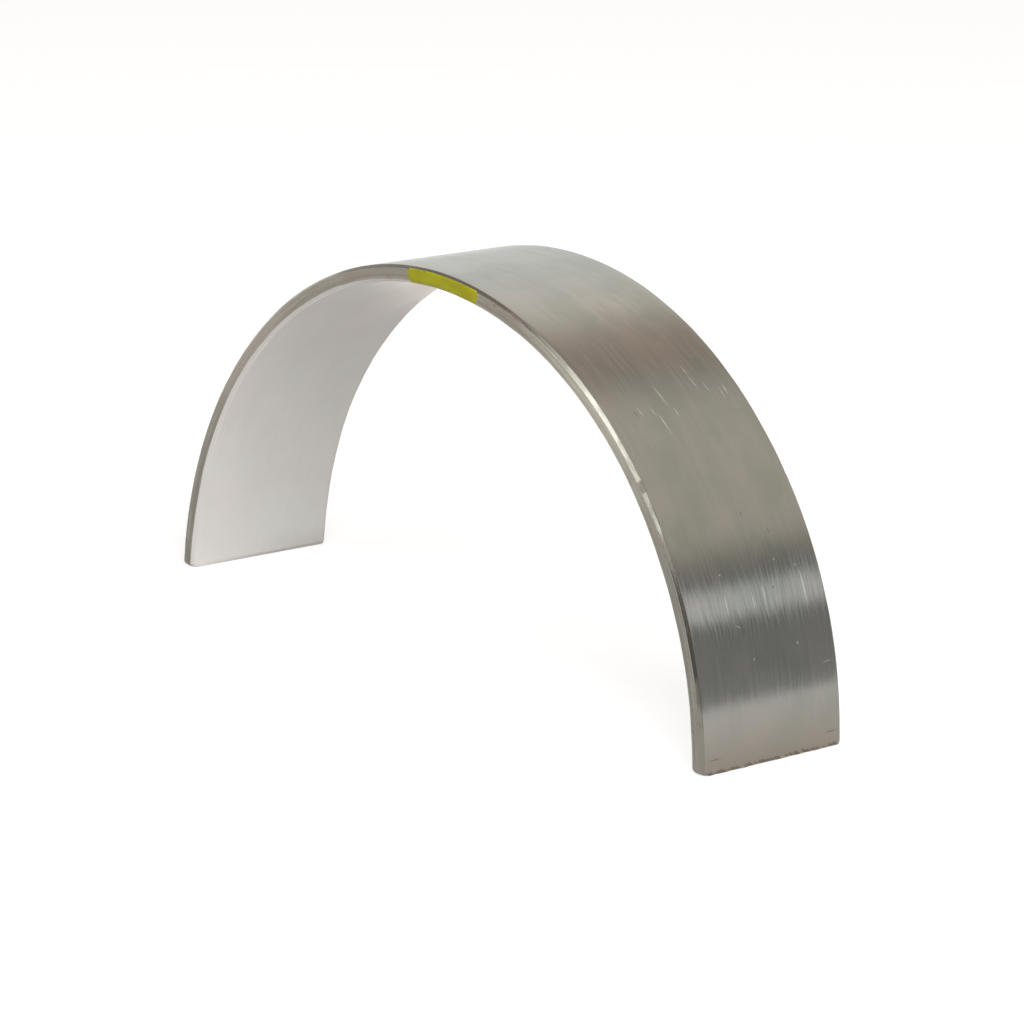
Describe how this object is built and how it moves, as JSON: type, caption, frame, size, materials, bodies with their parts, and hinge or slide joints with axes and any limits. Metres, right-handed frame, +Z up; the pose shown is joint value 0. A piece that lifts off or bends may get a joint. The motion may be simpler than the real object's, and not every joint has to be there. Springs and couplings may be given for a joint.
{
  "type": "engine bearing shell",
  "caption": "Plain thin-walled half shell that lines a split engine bearing housing and carries a shaft journal, with chamfered side edges and relieved ends.",
  "frame": {"origin": "centre of the joint plane: midway between the legs, midway along the width, on the surface that the shell stands on", "axes": "+Z up through the crown, Y along the shaft with the marked side face at -Y, X across the joint faces"},
  "size_m": [0.0666, 0.0144, 0.032],
  "materials": {
    "steel_back": "steel strip brushed along its length, with a pale satin lining on the running surface",
    "size_mark": "thin yellow paint dabbed on one side face"
  },
  "bodies": {
    "root": {"bearing_shell": "steel_back"}
  },
  "joints": []
}
